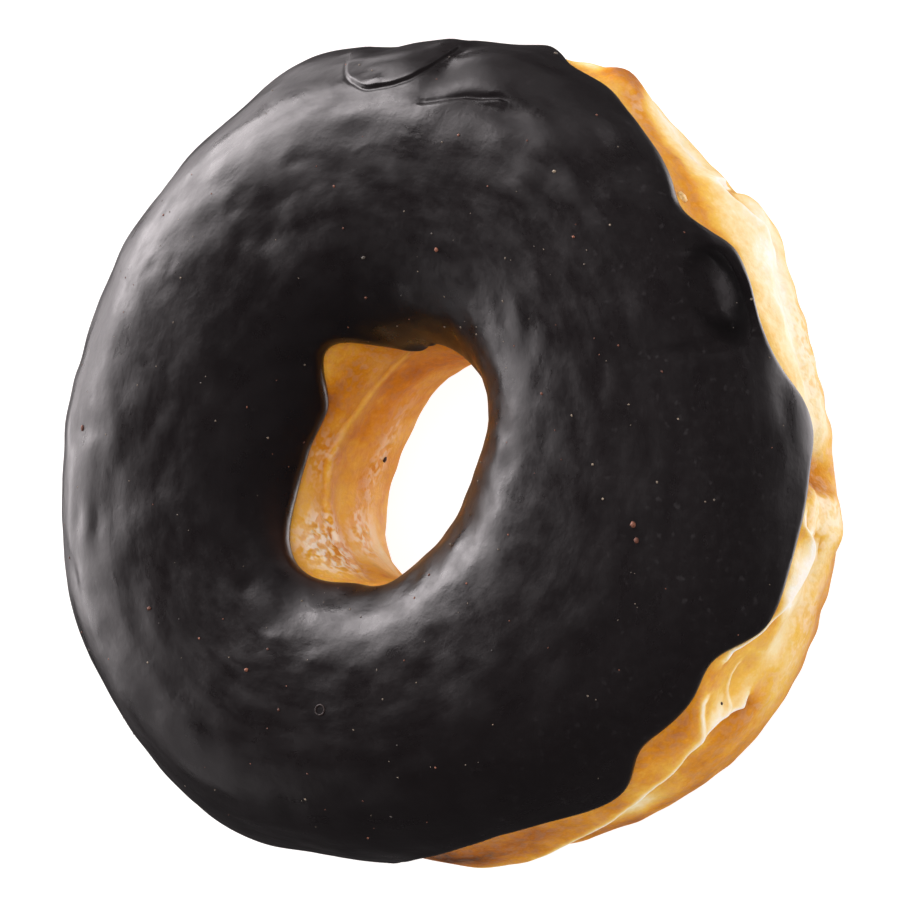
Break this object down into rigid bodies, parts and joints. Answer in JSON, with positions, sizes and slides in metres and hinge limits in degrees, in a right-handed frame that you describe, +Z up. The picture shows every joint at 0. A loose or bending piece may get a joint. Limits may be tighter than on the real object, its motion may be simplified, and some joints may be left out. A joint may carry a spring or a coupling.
{
  "type": "chocolate frosted doughnut",
  "caption": "Uneven fried yeast ring doughnut lying flat, with a thin glossy dark chocolate icing over its top that ends in wavy lobes and runs a little way into the hole.",
  "frame": {"origin": "on the surface that the doughnut lies on, under the middle of its bounding box", "axes": "+Z up, along the hole and out of the iced top; -Y is the side where the icing leaves most dough bare; +X is to the right seen from that side"},
  "size_m": [0.0934, 0.0924, 0.0351],
  "materials": {
    "fried_dough": "soft fried crust, golden with a pale waist and a browner underside",
    "chocolate_icing": "satin gloss set chocolate icing, nearly black"
  },
  "bodies": {
    "root": {"dough_ring": "fried_dough", "icing": "chocolate_icing"}
  },
  "joints": []
}
